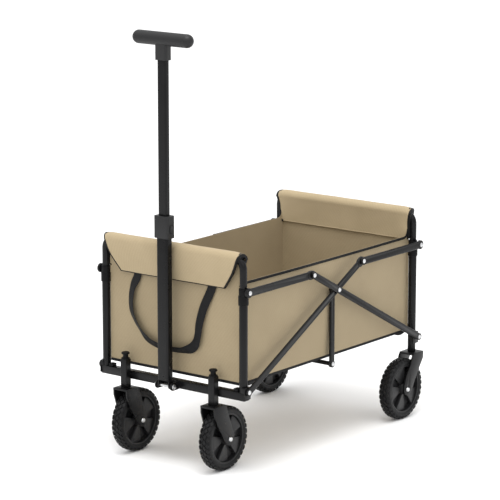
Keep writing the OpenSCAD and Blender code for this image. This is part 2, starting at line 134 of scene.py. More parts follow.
def softbox(name, place, target, size, power):
    """A square area light that points at target."""
    data = bpy.data.lights.new(name, "AREA")
    data.size = size
    data.energy = power
    lamp = bpy.data.objects.new(name, data)
    scene.collection.objects.link(lamp)
    lamp.location = place
    lamp.rotation_euler = (Vector(place) - Vector(target)).to_track_quat("Z", "Y").to_euler()


softbox("overhead_softbox", (0.5, -0.9, 4.0), (0, 0, 0.3), 1.8, 76)
softbox("side_softbox", (3.6, -1.4, 2.6), (0, 0, 0.4), 1.2, 5)
ceiling = bpy.data.lights.new("ceiling_wash", "SUN")
ceiling.energy = 1.2
ceiling.angle = math.radians(110)
ceiling_lamp = bpy.data.objects.new("ceiling_wash", ceiling)
scene.collection.objects.link(ceiling_lamp)
ceiling_lamp.rotation_euler = Vector((0.05, -0.2, 1)).to_track_quat("Z", "Y").to_euler()

# ------------------------------------------------------------------ steel frame
# Round steel posts, square crossbars, flat-oval braces and pressed brackets, welded and then
# powder coated satin black. Every edge of the tubes and plates is softened by the coating.
STEEL_NODES = ["front_posts", "front_crossbar", "front_upper_frame", "front_lower_brackets",
               "caster_sleeves", "handle_bracket", "rear_posts", "rear_crossbar",
               "rear_upper_frame", "rear_lower_brackets", "rear_fork_left", "rear_fork_right",
               "brace_a_right", "brace_b_right", "brace_a_left", "brace_b_left",
               "front_link_right", "front_link_left", "rear_link_right", "rear_link_left",
               "under_posts", "under_bar", "caster_fork_left", "caster_fork_right",
               "handle_lower_tube", "handle_upper_tube"]

# powder coat: satin, with a fine orange peel about 1.2 mm across, worn a little lighter
powder_coat, tree = new_material("satin_black_powder_coat")
where = add(tree, "TexCoord")
peel = add(tree, "TexNoise", inputs={"Vector": (where, "Object"), "Scale": 1 / (1.2 * MM),
                                     "Detail": 2.0})
cloudy = add(tree, "TexNoise", inputs={"Vector": (where, "Object"), "Scale": 14.0, "Detail": 4.0})
tone = add(tree, "ValToRGB", inputs={"Fac": (cloudy, "Fac")})
tone.color_ramp.elements[0].position, tone.color_ramp.elements[1].position = 0.3, 0.75
tone.color_ramp.elements[0].color = linear("#0a0a0b")
tone.color_ramp.elements[1].color = linear("#111112")
rough = add(tree, "MapRange", inputs={"Value": (cloudy, "Fac"), "From Min": 0.3, "From Max": 0.7,
                                      "To Min": 0.24, "To Max": 0.35})
bump = add(tree, "Bump", inputs={"Height": (peel, "Fac"), "Strength": 0.12, "Distance": 0.1 * MM})
shader = add(tree, "BsdfPrincipled", inputs={
    "Base Color": (tone, "Color"), "Roughness": (rough, "Result"), "Normal": (bump, "Normal"),
    "IOR": 1.5, "Specular IOR Level": 0.2})
add(tree, "OutputMaterial", inputs={"Surface": (shader, "BSDF")})


def body_of_node(name):
    bodies = frame["record"]["behaviour"]["bodies"]
    return next(body for body, members in bodies.items() if name in members)


def finish_node(name, material, edge_mm=0.7, smooth_deg=32):
    """Takes a copy of a CAD node, welds it, rounds its edges and gives it its finish."""
    source = frame["nodes"][name]
    piece = bpy.data.objects.new(name + "_finished", source.data.copy())
    scene.collection.objects.link(piece)
    take(piece)
    piece.data.materials.clear()
    piece.data.materials.append(material)
    bpy.ops.object.mode_set(mode="EDIT")
    bpy.ops.mesh.select_all(action="SELECT")
    bpy.ops.mesh.remove_doubles(threshold=0.001 * MM)
    bpy.ops.mesh.dissolve_limited(angle_limit=math.radians(0.6))
    bpy.ops.object.mode_set(mode="OBJECT")
    if piece.data.has_custom_normals:
        bpy.ops.mesh.customdata_custom_splitnormals_clear()
    if edge_mm:
        bevel = piece.modifiers.new("rounded_edges", "BEVEL")
        bevel.width = edge_mm * MM
        bevel.segments = 2
        bevel.limit_method = "ANGLE"
        bevel.angle_limit = math.radians(35)
        bpy.ops.object.modifier_apply(modifier=bevel.name)
    bpy.ops.object.shade_smooth_by_angle(angle=math.radians(smooth_deg))
    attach(piece, body_of_node(name))
    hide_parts(name)


for name in STEEL_NODES:
    edge = 1.6 if "crossbar" in name or "fork" in name or "sleeve" in name else 0.8
    finish_node(name, powder_coat, edge)

# ------------------------------------------------------------------ black moulded fittings
# Injection-moulded nylon: collars and upper brackets on the posts and the stem caps. Lightly
# textured by the mould and dull, so they read darker than the coated steel.
moulded_black, tree = new_material("moulded_black_nylon")
where = add(tree, "TexCoord")
grain = add(tree, "TexNoise", inputs={"Vector": (where, "Object"), "Scale": 1 / (0.9 * MM),
                                      "Detail": 3.0, "Roughness": 0.6})
bump = add(tree, "Bump", inputs={"Height": (grain, "Fac"), "Strength": 0.25, "Distance": 0.12 * MM})
tone = add(tree, "MixRGB", inputs={"Fac": (grain, "Fac"), "Color1": linear("#070708"),
                                   "Color2": linear("#0e0e0f")})
shader = add(tree, "BsdfPrincipled", inputs={"Base Color": (tone, "Color"), "Roughness": 0.5,
                                             "Normal": (bump, "Normal"), "IOR": 1.5,
                                             "Specular IOR Level": 0.12})
add(tree, "OutputMaterial", inputs={"Surface": (shader, "BSDF")})
for name in ["front_collars", "rear_collars", "front_upper_brackets", "rear_upper_brackets",
             "caster_knob_left", "caster_knob_right"]:
    finish_node(name, moulded_black, 0.9)

# ------------------------------------------------------------------ rivets and bolts
# Zinc-plated steel rivets at every pivot and bolts through the axles and the handle hinge,
# bright against the black frame.
zinc, tree = new_material("zinc_plated_steel")
where = add(tree, "TexCoord")
spangle = add(tree, "TexNoise", inputs={"Vector": (where, "Object"), "Scale": 1 / (2.0 * MM),
                                        "Detail": 3.0})
rough = add(tree, "MapRange", inputs={"Value": (spangle, "Fac"), "To Min": 0.22, "To Max": 0.42})
shader = add(tree, "BsdfPrincipled", inputs={"Base Color": linear("#cfd0d1"), "Metallic": 1.0,
                                             "Roughness": (rough, "Result")})
add(tree, "OutputMaterial", inputs={"Surface": (shader, "BSDF")})
for name in ["front_rivets", "rear_rivets", "rivets_a_right", "rivets_a_left", "rivet_b_right",
             "rivet_b_left", "caster_axle_left", "caster_axle_right"]:
    finish_node(name, zinc, 0.6)

# ------------------------------------------------------------------ tyres
# One-piece EVA and rubber tyres, 7 inch, moulded black. A smooth carcass carries four rows of
# diamond blocks, 34 in each row, and the outer rows fold over the shoulders.
tyre_rubber, tree = new_material("moulded_black_tyre_rubber")
where = add(tree, "TexCoord")
dust = add(tree, "TexNoise", inputs={"Vector": (where, "Object"), "Scale": 38.0, "Detail": 5.0})
grain = add(tree, "TexNoise", inputs={"Vector": (where, "Object"), "Scale": 1 / (0.8 * MM)})
tone = add(tree, "MixRGB", inputs={"Fac": (dust, "Fac"), "Color1": linear("#0a0a0b"),
                                   "Color2": linear("#161617")})
bump = add(tree, "Bump", inputs={"Height": (grain, "Fac"), "Strength": 0.2, "Distance": 0.1 * MM})
shader = add(tree, "BsdfPrincipled", inputs={"Base Color": (tone, "Color"), "Roughness": 0.5,
                                             "Normal": (bump, "Normal"), "IOR": 1.52,
                                             "Specular IOR Level": 0.2})
add(tree, "OutputMaterial", inputs={"Surface": (shader, "BSDF")})

tyre_lo, tyre_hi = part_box("tyre_front_right")
tyre_half = (tyre_hi[0] - tyre_lo[0]) / 2 / MM
tyre_r = (tyre_hi[2] - tyre_lo[2]) / 2 / MM
rim_lo, rim_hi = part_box("rim_front_right")
rim_r = (rim_hi[2] - rim_lo[2]) / 2 / MM
carcass_r = tyre_r - 3.0


def outline(name, points, closed):
    """Draws a run of vertices through (x, y, z) points in millimetres, by extrusion."""
    deselect()
    bpy.ops.mesh.primitive_plane_add(size=1 * MM)
    piece = bpy.context.object
    piece.name = name
    bpy.ops.object.mode_set(mode="EDIT")
    bpy.ops.mesh.select_all(action="SELECT")
    bpy.ops.mesh.merge(type="CENTER")
    bpy.ops.transform.translate(value=[c * MM for c in points[0]])
    for a, b in zip(points, points[1:]):
        bpy.ops.mesh.extrude_vertices_move(
            TRANSFORM_OT_translate={"value": [(q - p) * MM for p, q in zip(a, b)]})
    if closed:
        bpy.ops.mesh.select_all(action="SELECT")
        bpy.ops.mesh.edge_face_add()
        bpy.ops.mesh.delete(type="ONLY_FACE")
    return piece


def turn_round(piece, steps):
    """Spins the open outline a full turn about the X axis and closes it."""
    bpy.ops.mesh.select_all(action="SELECT")
    bpy.ops.mesh.spin(steps=steps, angle=2 * math.pi, center=(0, 0, 0), axis=(1, 0, 0))
    bpy.ops.mesh.select_all(action="SELECT")
    bpy.ops.mesh.remove_doubles(threshold=0.01 * MM)
    bpy.ops.mesh.normals_make_consistent(inside=False)
    bpy.ops.object.mode_set(mode="OBJECT")


half_profile = [(tyre_half - 2, rim_r - 1), (tyre_half, rim_r + 3), (tyre_half, rim_r + 7),
                (tyre_half - 1.2, rim_r + 9.5), (tyre_half - 0.6, carcass_r - 7),
                (tyre_half - 3, carcass_r - 3.4), (tyre_half - 8, carcass_r - 0.7),
                (0, carcass_r)]
profile = [(x, 0, r) for x, r in half_profile] + [(-x, 0, r) for x, r in half_profile[-2::-1]]
carcass = outline("tyre_carcass", profile, closed=True)
turn_round(carcass, 96)
bpy.ops.object.shade_smooth_by_angle(angle=math.radians(35))

BLOCKS_ROUND = 34
pitch_angle = 2 * math.pi / BLOCKS_ROUND
tread = []
for row, (x, tilt) in enumerate([(-12.9, -30), (-4.4, 0), (4.4, 0), (12.9, 30)]):
    deselect()
    outer = tilt != 0
    seat = carcass_r - (2.3 if outer else 0.6)
    bpy.ops.mesh.primitive_cylinder_add(vertices=4, radius=1 * MM, depth=4.4 * MM,
                                        location=(0, 0, 0))
    block = bpy.context.object
    block.name = f"tread_row_{row}"
    bpy.ops.object.mode_set(mode="EDIT")
    bpy.ops.mesh.select_all(action="SELECT")
    bpy.ops.transform.resize(value=(5.9 if not outer else 5.2, 7.6, 1))
    bpy.ops.mesh.bevel(offset=0.7 * MM, segments=1, affect="EDGES")
    bpy.ops.mesh.select_all(action="SELECT")
    bpy.ops.transform.rotate(value=-math.radians(tilt), orient_axis="Y",
                             center_override=(0, 0, 0))
    bpy.ops.transform.translate(value=(x * MM, 0, (seat + 1.2) * MM))
    if row % 2:
        bpy.ops.transform.rotate(value=pitch_angle / 2, orient_axis="X",
                                 center_override=(0, 0, 0))
    bpy.ops.mesh.spin(steps=BLOCKS_ROUND - 1, angle=2 * math.pi - pitch_angle, dupli=True,
                      center=(0, 0, 0), axis=(1, 0, 0))
    bpy.ops.mesh.select_all(action="SELECT")
    bpy.ops.mesh.normals_make_consistent(inside=False)
    bpy.ops.object.mode_set(mode="OBJECT")
    tread.append(block)
take(carcass)
for block in tread:
    block.select_set(True)
bpy.ops.object.join()
tyre_master = bpy.context.object
limit = (tyre_half - 0.05) * MM
for vertex in tyre_master.data.vertices:
    vertex.co.x = max(-limit, min(limit, vertex.co.x))
tyre_master.data.materials.clear()
tyre_master.data.materials.append(tyre_rubber)

# ------------------------------------------------------------------ rims
# Moulded dark grey polypropylene: an outer ring and a hub joined by a web in the middle plane,
# with five pitched paddles on each face, so that one edge of each stands proud of the next.
rim_plastic, tree = new_material("moulded_grey_polypropylene")
where = add(tree, "TexCoord")
grain = add(tree, "TexNoise", inputs={"Vector": (where, "Object"), "Scale": 1 / (1.0 * MM)})
bump = add(tree, "Bump", inputs={"Height": (grain, "Fac"), "Strength": 0.15, "Distance": 0.1 * MM})
tone = add(tree, "MixRGB", inputs={"Fac": (grain, "Fac"), "Color1": linear("#171718"),
                                   "Color2": linear("#202021")})
shader = add(tree, "BsdfPrincipled", inputs={"Base Color": (tone, "Color"), "Roughness": 0.42,
                                             "Normal": (bump, "Normal"), "IOR": 1.49,
                                             "Specular IOR Level": 0.35})
add(tree, "OutputMaterial", inputs={"Surface": (shader, "BSDF")})

PADDLES = 5
hub_half = (rim_hi[0] - rim_lo[0]) / 2 / MM
axle_r = 5.1
ring = outline("rim_ring", [(tyre_half - 2.2, 0, rim_r - 0.8), (tyre_half - 1.2, 0, rim_r - 3),
                            (tyre_half - 2, 0, rim_r - 5.4), (3, 0, rim_r - 7.5),
                            (-3, 0, rim_r - 7.5), (-tyre_half + 2, 0, rim_r - 5.4),
                            (-tyre_half + 1.2, 0, rim_r - 3), (-tyre_half + 2.2, 0, rim_r - 0.8)],
               closed=True)
turn_round(ring, 72)
bpy.ops.object.shade_smooth_by_angle(angle=math.radians(28))
web = outline("rim_web", [(1.6, 0, rim_r - 6.5), (1.6, 0, 19), (hub_half - 4, 0, 16.5),
                          (hub_half - 0.6, 0, 15.6), (hub_half, 0, 14.4), (hub_half, 0, axle_r),
                          (-hub_half, 0, axle_r), (-hub_half, 0, 14.4),
                          (-hub_half + 0.6, 0, 15.6), (-hub_half + 4, 0, 16.5), (-1.6, 0, 19),
                          (-1.6, 0, rim_r - 6.5)], closed=True)
turn_round(web, 72)
bpy.ops.object.shade_smooth_by_angle(angle=math.radians(28))

deselect()
bpy.ops.mesh.primitive_plane_add(size=2 * MM, rotation=(0, math.pi / 2, 0))
paddle = bpy.context.object
paddle.name = "rim_paddles"
bpy.ops.object.transform_apply(location=False, rotation=True, scale=False)
wedge = {(-1, -1): (-6.5, 15.5), (1, -1): (6.5, 15.5), (-1, 1): (-25.5, rim_r - 9.5),
         (1, 1): (25.5, rim_r - 9.5)}
for vertex in paddle.data.vertices:
    key = (round(vertex.co.y / MM), round(vertex.co.z / MM))
    y, z = wedge[key]
    vertex.co = (1.0 * MM, y * MM, z * MM)
bpy.ops.object.mode_set(mode="EDIT")
bpy.ops.mesh.select_all(action="SELECT")
bpy.ops.mesh.subdivide(number_cuts=3)
bpy.ops.mesh.extrude_region_move(TRANSFORM_OT_translate={"value": (tyre_half * 0.52 * MM, 0, 0)})
bpy.ops.object.mode_set(mode="OBJECT")
for vertex in paddle.data.vertices:
    radius = math.hypot(vertex.co.y, vertex.co.z)
    if vertex.co.z / MM > rim_r - 12:
        scale = (rim_r - 6.6) * MM / radius
        vertex.co.y *= scale
        vertex.co.z *= scale
    if vertex.co.x > 2 * MM:
        # the face is pitched: its leading edge stands 4.4 mm proud of its trailing edge
        across = max(-1, min(1, vertex.co.y / (0.36 * radius)))
        vertex.co.x += (2.2 * across + 1.0) * MM
bpy.ops.object.mode_set(mode="EDIT")
bpy.ops.mesh.select_all(action="SELECT")
bpy.ops.mesh.normals_make_consistent(inside=False)
bpy.ops.mesh.select_all(action="DESELECT")
bpy.ops.object.mode_set(mode="OBJECT")
soften = paddle.modifiers.new("soft_edges", "BEVEL")
soften.width = 0.8 * MM
soften.segments = 2
soften.angle_limit = math.radians(40)
bpy.ops.object.modifier_apply(modifier=soften.name)
bpy.ops.object.mode_set(mode="EDIT")
bpy.ops.mesh.select_all(action="SELECT")
bpy.ops.mesh.spin(steps=PADDLES - 1, angle=2 * math.pi * (PADDLES - 1) / PADDLES, dupli=True,
                  center=(0, 0, 0), axis=(1, 0, 0))
bpy.ops.mesh.select_all(action="SELECT")
bpy.ops.mesh.duplicate()
bpy.ops.transform.rotate(value=math.pi, orient_axis="Z", center_override=(0, 0, 0))
bpy.ops.mesh.select_all(action="SELECT")
bpy.ops.mesh.normals_make_consistent(inside=False)
bpy.ops.object.mode_set(mode="OBJECT")
bpy.ops.object.shade_smooth_by_angle(angle=math.radians(28))
take(ring)
web.select_set(True)
paddle.select_set(True)
bpy.ops.object.join()
rim_master = bpy.context.object
rim_master.data.materials.clear()
rim_master.data.materials.append(rim_plastic)

for place in ("front_left", "front_right", "rear_left", "rear_right"):
    low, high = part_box("tyre_" + place)
    centre = (Vector(low) + Vector(high)) / 2
    for master, kind, slot in ((tyre_master, "tyre", "tyre"), (rim_master, "rim", "rim_plastic")):
        wheel_part = bpy.data.objects.new(f"{kind}_{place}_moulded", master.data.copy())
        wheel_part.data.transform(Matrix.Translation(centre)
                                  @ Matrix.Rotation(math.radians(23), 4, "X"))
        scene.collection.objects.link(wheel_part)
        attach(wheel_part, "wheel_" + place)
        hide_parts(f"{kind}_{place}")
bpy.data.objects.remove(tyre_master)
bpy.data.objects.remove(rim_master)

# ------------------------------------------------------------------ end walls
# Flat panels of khaki 600D polyester, sewn to the side walls along piped corner seams and
# pulled tight between the posts. A narrow black binding closes the bottom edge.
#
# The cloth is a coated plain weave: matt, with fine thread lines, a faint diagonal rib where
# the threads cross, and slow changes of tone. Threads are drawn 1.5 mm wide, about three
# times too coarse, because real ones are too fine to show.
khaki_cloth, tree = new_material("khaki_600d_polyester")
where = add(tree, "UVMap")
split = add(tree, "SeparateXYZ", inputs={"Vector": (where, "UV")})
warp = add(tree, "Math", {"operation": "MULTIPLY"}, {0: (split, "X"), 1: math.pi / (1.5 * MM)})
weft = add(tree, "Math", {"operation": "MULTIPLY"}, {0: (split, "Y"), 1: math.pi / (1.5 * MM)})
warp_wave = add(tree, "Math", {"operation": "SINE"}, {0: (warp, "Value")})
weft_wave = add(tree, "Math", {"operation": "SINE"}, {0: (weft, "Value")})
weave = add(tree, "Math", {"operation": "MULTIPLY"},
            {0: (warp_wave, "Value"), 1: (weft_wave, "Value")})
rib_turn = add(tree, "Mapping", inputs={"Vector": (where, "UV"),
                                        "Rotation": (0, 0, math.radians(38))})
rib = add(tree, "TexWave", inputs={"Vector": (rib_turn, "Vector"), "Scale": 1 / (26 * MM),
                                   "Distortion": 1.2, "Detail": 2.0})
slow = add(tree, "TexNoise", inputs={"Vector": (where, "UV"), "Scale": 9.0, "Detail": 5.0,
                                     "Roughness": 0.55})
fine = add(tree, "TexNoise", inputs={"Vector": (where, "UV"), "Scale": 1 / (3.0 * MM),
                                     "Detail": 3.0})
mottle = add(tree, "MixRGB", inputs={"Fac": 0.35, "Color1": (slow, "Fac"), "Color2": (fine, "Fac")})
mottle = add(tree, "MixRGB", inputs={"Fac": 0.10, "Color1": (mottle, "Color"),
                                     "Color2": (rib, "Fac")})
tone = add(tree, "ValToRGB", inputs={"Fac": (mottle, "Color")})
tone.color_ramp.elements[0].position, tone.color_ramp.elements[1].position = 0.32, 0.66
tone.color_ramp.elements[0].color = linear("#918267")
tone.color_ramp.elements[1].color = linear("#9b8c70")
bump = add(tree, "Bump", inputs={"Height": (weave, "Value"), "Strength": 0.35,
                                 "Distance": 0.25 * MM})
rib_bump = add(tree, "Bump", inputs={"Height": (rib, "Fac"), "Strength": 0.10,
                                     "Distance": 0.8 * MM, "Normal": (bump, "Normal")})
shader = add(tree, "BsdfPrincipled", inputs={
    "Base Color": (tone, "Color"), "Roughness": 0.82, "Normal": (rib_bump, "Normal"),
    "IOR": 1.45, "Specular IOR Level": 0.3, "Sheen Weight": 0.12, "Sheen Roughness": 0.5})
add(tree, "OutputMaterial", inputs={"Surface": (shader, "BSDF")})

# the covers get a lighter copy of the same cloth: painted light, standing in for the overhead light
# that the upward-tilted flaps and rolls catch
lit_cover_cloth = khaki_cloth.copy()
lit_cover_cloth.name = "painted_light_khaki_600d_polyester"
for node in lit_cover_cloth.node_tree.nodes:
    if node.bl_idname == "ShaderNodeValToRGB":
        node.color_ramp.elements[0].color = linear("#9f8f71")
        node.color_ramp.elements[1].color = linear("#aa997b")

# woven polypropylene tape: black, cross ribs 2.2 mm apart, dull with a soft glint on each rib
black_tape, tree = new_material("black_woven_tape")
where = add(tree, "UVMap")
split = add(tree, "SeparateXYZ", inputs={"Vector": (where, "UV")})
across = add(tree, "Math", {"operation": "MULTIPLY"}, {0: (split, "Y"),
                                                       1: 2 * math.pi / (2.2 * MM)})
ribs = add(tree, "Math", {"operation": "SINE"}, {0: (across, "Value")})
bump = add(tree, "Bump", inputs={"Height": (ribs, "Value"), "Strength": 0.4,
                                 "Distance": 0.25 * MM})
lint = add(tree, "TexNoise", inputs={"Vector": (where, "UV"), "Scale": 1 / (2.0 * MM)})
tone = add(tree, "MixRGB", inputs={"Fac": (lint, "Fac"), "Color1": linear("#060607"),
                                   "Color2": linear("#0e0e0f")})
shader = add(tree, "BsdfPrincipled", inputs={
    "Base Color": (tone, "Color"), "Roughness": 0.6, "Normal": (bump, "Normal"), "IOR": 1.49,
    "Specular IOR Level": 0.2, "Sheen Weight": 0.03})
add(tree, "OutputMaterial", inputs={"Surface": (shader, "BSDF")})

post_lo, post_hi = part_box("front_posts")
rear_lo, rear_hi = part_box("rear_posts")
front_y = (post_lo[1] + post_hi[1]) / 2 / MM
rear_y = (rear_lo[1] + rear_hi[1]) / 2 / MM
bar_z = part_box("front_upper_frame")[1][2] / MM - 10
floor_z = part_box("floor_panel")[0][2] / MM
side_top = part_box("side_panel_right")[1][2] / MM
wall_inset = 5.6          # the end walls stand this far inside the post axes


def cloth(name, size, counts, place, material, thickness=1.2):
    """Lays a grid of cloth. size is its cut (width, length) in millimetres, counts its cells
    and place gives the point at (u, v), each from 0 to 1, in millimetres."""
    deselect()
    bpy.ops.mesh.primitive_grid_add(x_subdivisions=counts[0], y_subdivisions=counts[1],
                                    size=2, calc_uvs=True)
    piece = bpy.context.object
    piece.name = name
    for vertex in piece.data.vertices:
        u, v = vertex.co.x / 2 + 0.5, vertex.co.y / 2 + 0.5
        vertex.co = Vector(place(u, v)) * MM
    for corner in piece.data.uv_layers.active.data:
        corner.uv = (corner.uv[0] * size[0] * MM, corner.uv[1] * size[1] * MM)
    piece.data.materials.append(material)
    if thickness:
        wall = piece.modifiers.new("cloth_thickness", "SOLIDIFY")
        wall.thickness = thickness * MM
        wall.offset = 0
        bpy.ops.object.modifier_apply(modifier=wall.name)
    bpy.ops.object.shade_smooth_by_angle(angle=math.radians(50))
    return piece


def along(points, step):
    """A smooth curve through the points, resampled about every step millimetres."""
    knots = [Vector(p) for p in points]
    knots = [knots[0] * 2 - knots[1]] + knots + [knots[-1] * 2 - knots[-2]]
    curve = []
    for a, b, c, d in zip(knots, knots[1:], knots[2:], knots[3:]):
        cuts = max(2, int((c - b).length / step))
        for i in range(cuts):
            t = i / cuts
            curve.append(0.5 * (2 * b + (c - a) * t + (2 * a - 5 * b + 4 * c - d) * t ** 2
                                + (3 * b - a - 3 * c + d) * t ** 3))
    return curve + [knots[-2]]


def tape(name, path, facing, width, thickness, material=None):
    """Sweeps a flat tape along the path. facing is the way its flat side looks, and it and
    width may be one value or one for each point."""
    count = len(path)
    facings = facing if isinstance(facing, list) else [facing] * count
    widths = width if isinstance(width, list) else [width] * count
    sides = []
    for i in range(count):
        ahead = (path[min(i + 1, count - 1)] - path[max(i - 1, 0)]).normalized()
        out = Vector(facings[i])
        out = (out - ahead * out.dot(ahead)).normalized()
        sides.append((ahead.cross(out).normalized(), out))
    lengths = [0.0]
    for a, b in zip(path, path[1:]):
        lengths.append(lengths[-1] + (b - a).length)
    shape = [(-0.5, 0), (-0.46, 0.36), (-0.25, 0.5), (0.25, 0.5), (0.46, 0.36), (0.5, 0),
             (0.46, -0.36), (0.25, -0.5), (-0.25, -0.5), (-0.46, -0.36)]

    def ring(u, v):
        i = round(v * (count - 1))
        a, b = shape[round(u * len(shape)) % len(shape)]
        side, out = sides[i]
        return path[i] + side * (a * widths[i]) + out * (b * thickness)

    piece = cloth(name, (2 * (widths[0] + thickness), lengths[-1]), (len(shape), count - 1),
                  ring, material or black_tape, thickness=0)
    take(piece)
    bpy.ops.object.mode_set(mode="EDIT")
    bpy.ops.mesh.select_all(action="SELECT")
    bpy.ops.mesh.remove_doubles(threshold=0.01 * MM)
    bpy.ops.mesh.select_all(action="DESELECT")
    bpy.ops.mesh.select_non_manifold()
    bpy.ops.mesh.edge_face_add()
    bpy.ops.mesh.select_all(action="SELECT")
    bpy.ops.mesh.normals_make_consistent(inside=False)
    bpy.ops.object.mode_set(mode="OBJECT")
    bpy.ops.object.shade_smooth_by_angle(angle=math.radians(50))
    return piece


def ripple(x, y, z, size, height):
    """Soft unevenness of hanging cloth, in millimetres."""
    return height * noise.noise(Vector((x, y, z)) / size)


END_HALF = 229.2
WALL_TOP = bar_z - 12.5
BEND_Z = 555              # the top tube starts to bend inwards here


def end_wall(name, y_post, inward, body, node):
    """One end wall: inward is the direction from its posts towards the middle of the tub."""
    y_wall = y_post + inward * wall_inset

    def place(u, v):
        x = (2 * u - 1) * END_HALF
        z = floor_z + 1 + v * (WALL_TOP - floor_z - 1)
        if z > BEND_Z:
            x *= 1 - 0.055 * ((z - BEND_Z) / 30) ** 2
        belly = math.sin(math.pi * u) ** 0.8 * math.sin(math.pi * min(1, v * 1.1)) ** 0.8
        y = y_wall - inward * 1.6 * belly + ripple(x, 0, z, 70, 0.9 * belly)
        return x, y, z

    height = WALL_TOP - floor_z - 1
    wall = cloth(name, (2 * END_HALF, height), (72, 48), place, khaki_cloth, 1.3)
    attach(wall, body)
    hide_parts(node)
    edge = along([(x, y_wall, floor_z + 2.6) for x in (-END_HALF + 1, -100, 0, 100,
                                                       END_HALF - 1)], 12)
    hem = tape(name + "_bottom_binding", edge, (0, 1, 0), 8.5, 3.4)
    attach(hem, body)
    for s in (-1, 1):
        pipe = tape(f"{name}_corner_piping_{'right' if s > 0 else 'left'}",
                    along([(s * 226.8, y_wall + inward * 0.4, z)
                           for z in (floor_z + 2, 330, 420, side_top)], 20),
                    (0, 1, 0), 4.2, 3.6, khaki_cloth)
        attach(pipe, body)


end_wall("front_wall", front_y, 1, "front_frame", "front_panel")
end_wall("rear_wall", rear_y, -1, "rear_frame", "rear_panel")

# ------------------------------------------------------------------ covers over the top bars
# A separate strip of the same cloth folds over a foam sleeve on each top bar. It hangs outside
# as a flap with cut-back corners and inside as a straight band, with black bound ends.
COVER_HALF = 241.0
ROLL_R = 16.2
FLAP_LOW = 511.0
BAND_LOW = 521.0


def cover_section(outside, distance):
    """(y away from the bar towards the outside, z) at a distance along the cover's section,
    from its outer lower edge over the bar to its inner lower edge."""
    outer = bar_z - FLAP_LOW
    arc = math.pi * ROLL_R
    inner = bar_z - BAND_LOW
    if distance < outer:
        t = distance / outer
        return outside * (6.0 + (ROLL_R - 6.0) * math.sin(t * math.pi / 2) ** 1.15), \
            FLAP_LOW + t * outer
    if distance < outer + arc:
        a = (distance - outer) / ROLL_R
        return outside * ROLL_R * math.cos(a), bar_z + ROLL_R * math.sin(a)
    t = min(1, (distance - outer - arc) / inner)
    return -outside * (ROLL_R - 6.0 * math.sin(t * math.pi / 2) ** 0.8), bar_z - t * inner


SECTION = bar_z - FLAP_LOW + math.pi * ROLL_R + bar_z - BAND_LOW


def half_width(distance):
    """Half the cover's width at that place in its section."""
    outer = bar_z - FLAP_LOW
    if distance < outer:
        z = FLAP_LOW + distance
        steps = [(FLAP_LOW, 180), (FLAP_LOW + 22, 197), (FLAP_LOW + 42, 211),
                 (FLAP_LOW + 62, 221), (bar_z, 230)]
        for (z0, w0), (z1, w1) in zip(steps, steps[1:]):
            if z <= z1:
                t = (z - z0) / (z1 - z0)
                return w0 + (w1 - w0) * t
    over = (distance - outer) / (math.pi * ROLL_R)
    if over < 1:
        return 230 + (COVER_HALF - 230) * math.sin(over * math.pi / 2)
    t = min(1.0, (distance - outer - math.pi * ROLL_R) / (bar_z - BAND_LOW))
    low_corner = max(0.0, (t - 0.8) / 0.2)
    return COVER_HALF - 6.0 * min(1, t * 3) ** 0.7 - 12 * (1 - math.sqrt(1 - low_corner ** 2))


